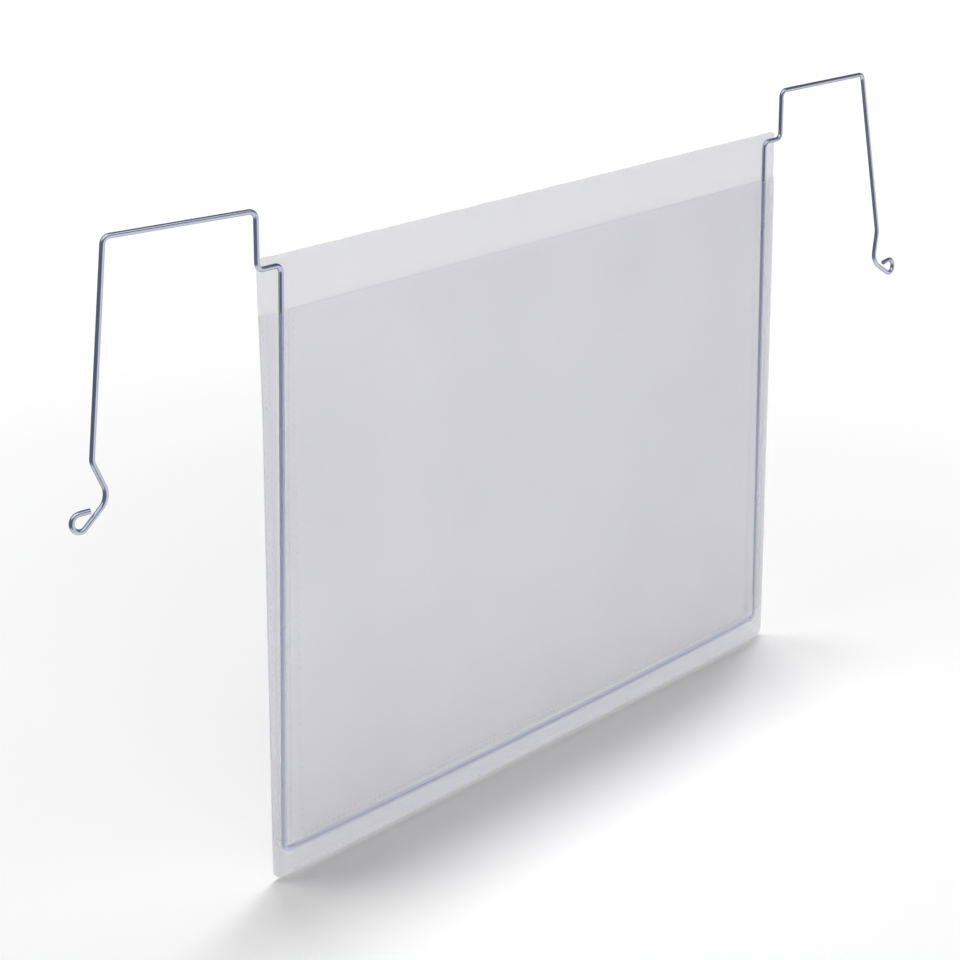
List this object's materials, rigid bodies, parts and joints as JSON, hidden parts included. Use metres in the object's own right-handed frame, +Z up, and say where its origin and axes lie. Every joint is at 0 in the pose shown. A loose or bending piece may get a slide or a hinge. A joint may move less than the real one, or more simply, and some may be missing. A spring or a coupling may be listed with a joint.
{
  "type": "hanging document pocket",
  "caption": "Landscape document pocket of welded translucent film, open at the top, hung by a bent steel wire bracket with a spring hook on each side.",
  "frame": {"origin": "midway between the two hooks, level with the undersides of their bridges, in the plane of the pocket's back face", "axes": "+X to the right as the pocket is read, +Y to the back, +Z up"},
  "size_m": [0.5163, 0.0226, 0.273],
  "materials": {
    "steel_wire": "bright drawn wire",
    "film": "matt translucent polypropylene film"
  },
  "bodies": {
    "bracket": {"wire_bracket": "steel_wire"},
    "pocket": {"back_sheet": "film", "front_border": "film"},
    "mouth": {"front_window": "film"}
  },
  "joints": [
    {"name": "pocket_slide", "type": "slide", "parent": "bracket", "child": "pocket", "axis": [0, 0, 1], "range_m": [-0.0012, 0.0025]},
    {"name": "mouth_open", "type": "hinge", "parent": "pocket", "child": "mouth", "pos_m": [0, -0.00075, -0.25425], "axis": [1, 0, 0], "range_deg": [0, 7], "stiffness_Nm_per_rad": 0.08, "springref_deg": -2.86}
  ]
}
